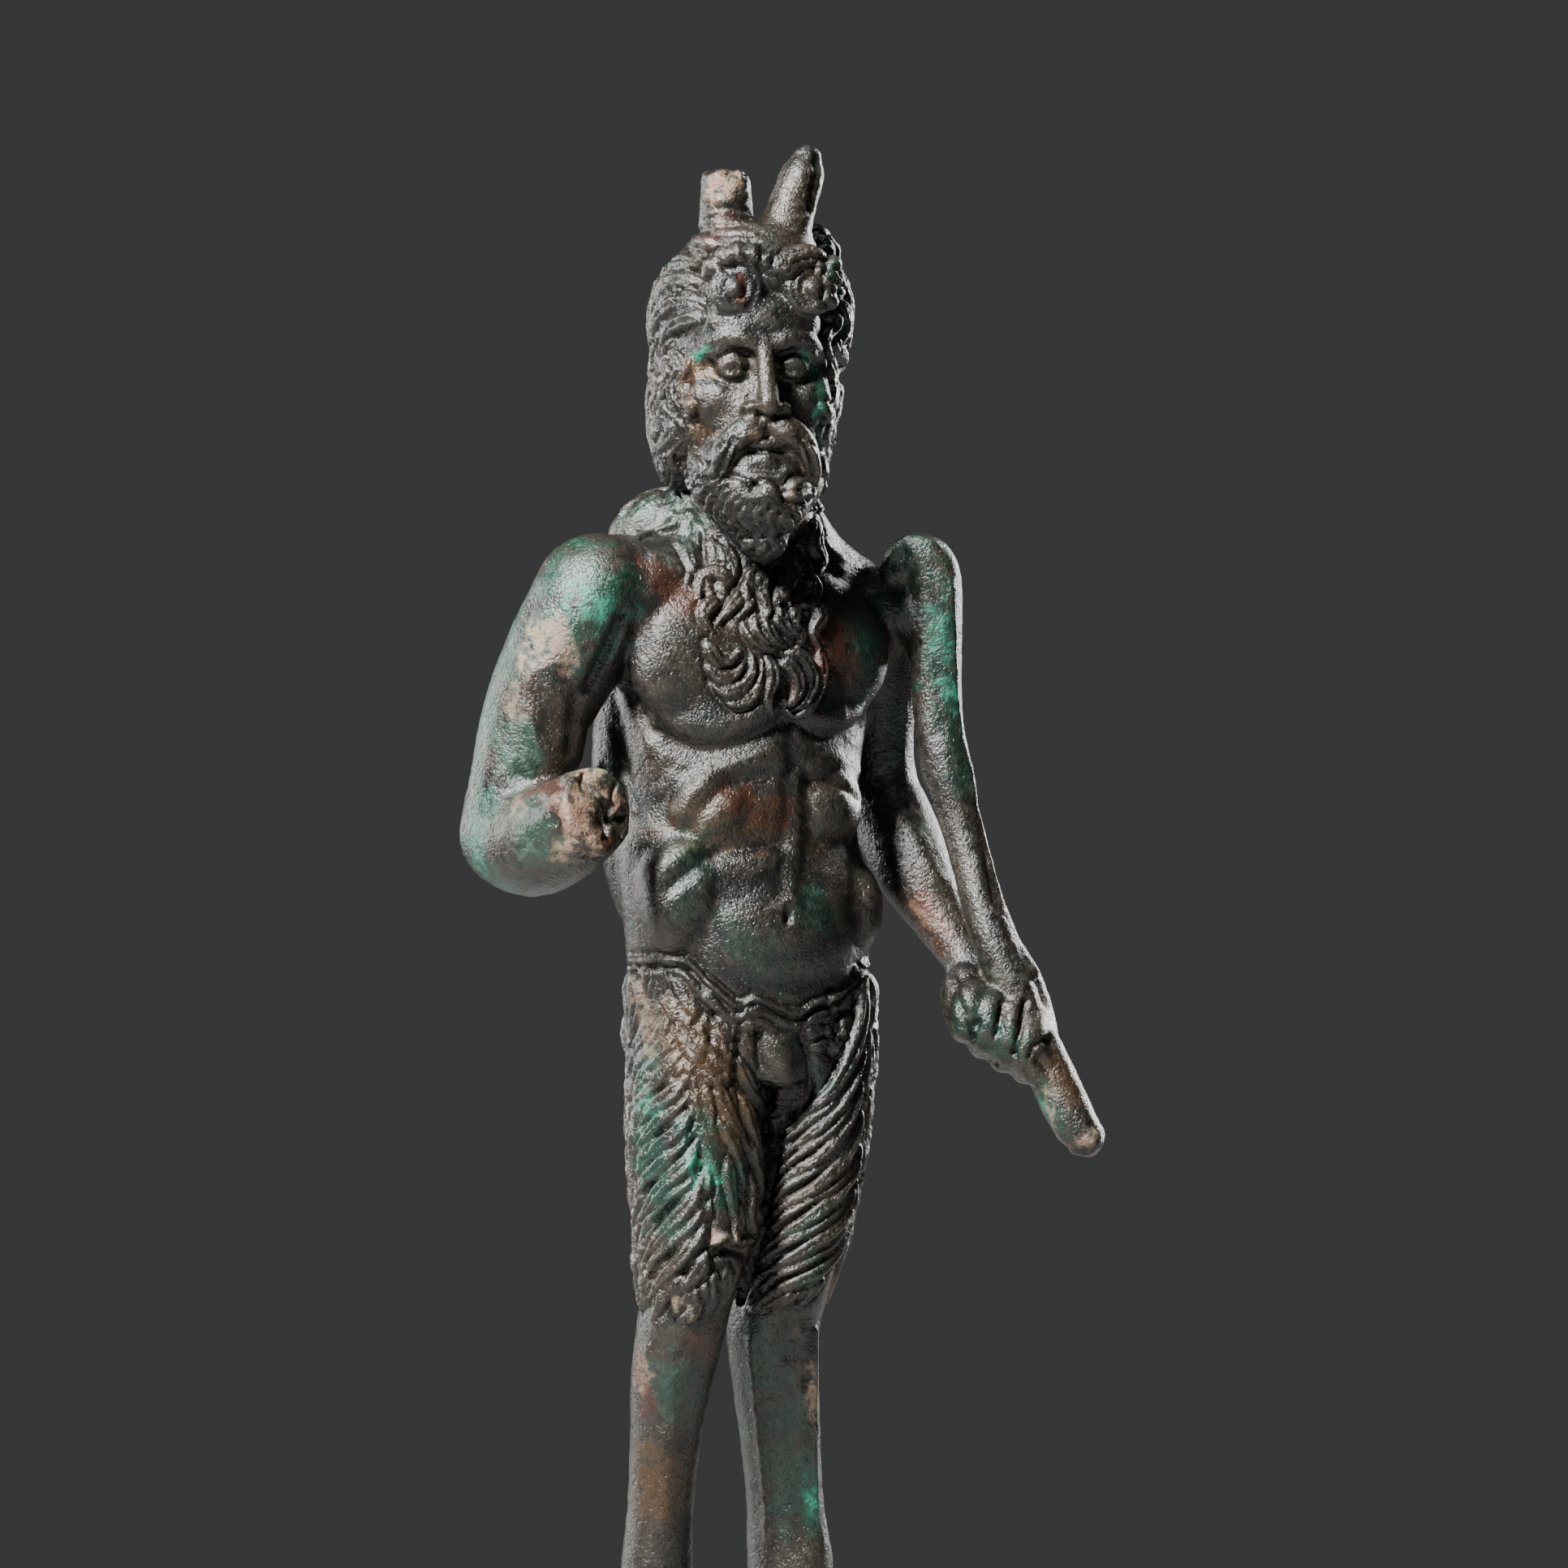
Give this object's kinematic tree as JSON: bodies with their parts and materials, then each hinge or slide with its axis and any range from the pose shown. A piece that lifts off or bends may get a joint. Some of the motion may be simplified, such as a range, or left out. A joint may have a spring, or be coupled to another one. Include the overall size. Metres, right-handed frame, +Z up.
{
  "type": "faun statuette",
  "caption": "Bearded, horned faun standing on goat's legs with a throwing stick along the left arm, cast in bronze on a low round plinth.",
  "frame": {"origin": "centre of the plinth's underside", "axes": "+Z up, -Y towards the viewer of the picture, +X to that viewer's right"},
  "size_m": [0.079, 0.062, 0.2111],
  "materials": {
    "faun_bronze": "near-black bronze patina with green and tan crust",
    "plinth_bronze": "dark bronze patina"
  },
  "bodies": {
    "root": {"faun": "faun_bronze", "plinth": "plinth_bronze"}
  },
  "joints": []
}
